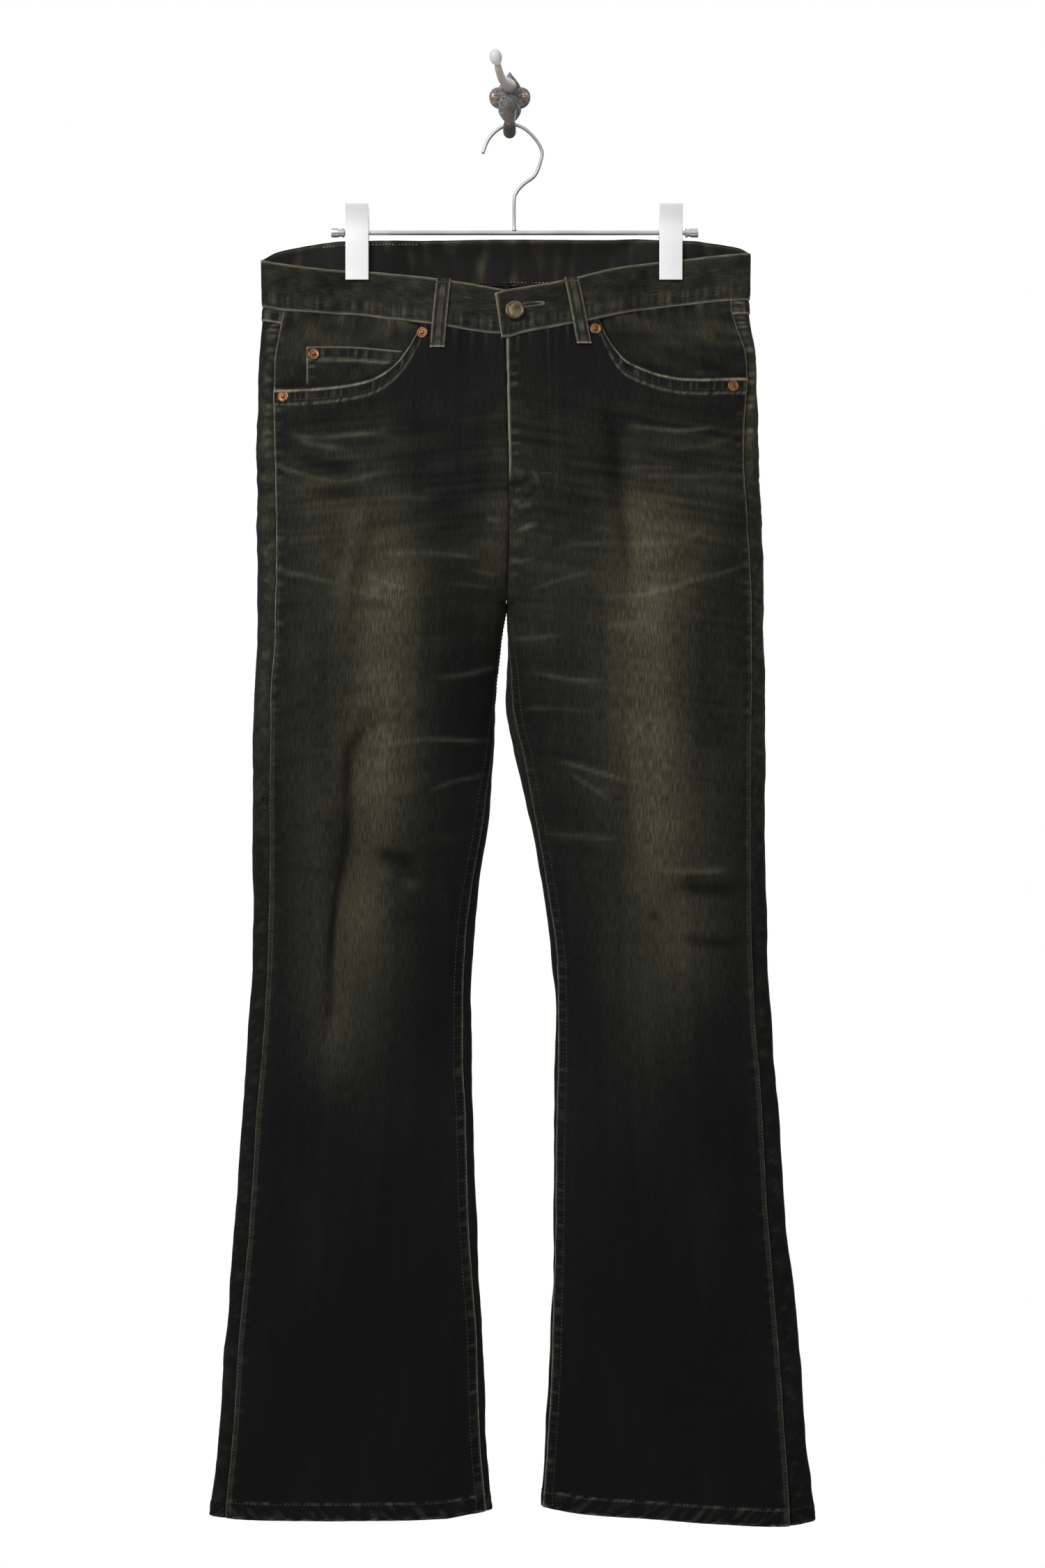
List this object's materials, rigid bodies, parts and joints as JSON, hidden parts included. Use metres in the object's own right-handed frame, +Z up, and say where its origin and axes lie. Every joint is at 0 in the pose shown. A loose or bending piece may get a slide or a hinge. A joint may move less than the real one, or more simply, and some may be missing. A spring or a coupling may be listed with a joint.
{
  "type": "flared jeans on a clip hanger and wall hook",
  "caption": "Flared denim jeans hung flat by the waistband from a metal clip hanger on a cast wall hook; curved hip pockets, coin pocket, yoke, patch back pockets and open hems.",
  "frame": {"origin": "the middle of the wall plate's back face, on the wall", "axes": "+Z up, +Y into the wall, +X to the viewer's right (the wearer's left)"},
  "size_m": [0.5202, 0.0979, 1.2649],
  "materials": {
    "denim": "washed black twill with warm brown fading on the thighs",
    "copper": "aged copper",
    "brass": "antique brass",
    "chrome": "bright plate",
    "cast_iron": "dark bronze paint over cast iron",
    "glazed_knob": "white glaze"
  },
  "bodies": {
    "root": {"front_right": "denim", "back_seat_right": "denim", "back_thigh_right": "denim", "back_shin_right": "denim", "front_left": "denim", "back_seat_left": "denim", "back_thigh_left": "denim", "back_shin_left": "denim", "yoke_right": "denim", "yoke_left": "denim", "waistband": "denim", "pocket_facing_right": "denim", "pocket_facing_left": "denim", "coin_pocket": "denim", "back_pocket_right": "denim", "back_pocket_left": "denim", "belt_loop_front_right": "denim", "belt_loop_front_left": "denim", "belt_loop_back_right": "denim", "belt_loop_back_left": "denim", "belt_loop_back_centre": "denim", "rivet_mouth_right": "copper", "rivet_hip_right": "copper", "rivet_mouth_left": "copper", "rivet_hip_left": "copper", "rivet_coin": "copper", "screw_right": "copper", "screw_left": "copper", "hanger_hook": "chrome", "hanger_rod": "chrome", "end_cap_right": "chrome", "end_cap_left": "chrome", "clip_jaw_front_right": "chrome", "clip_jaw_back_right": "chrome", "clip_sleeve_right": "chrome", "clip_jaw_front_left": "chrome", "clip_jaw_back_left": "chrome", "clip_sleeve_left": "chrome", "button": "brass", "wall_hook": "cast_iron", "hook_knob": "glazed_knob"}
  },
  "joints": []
}
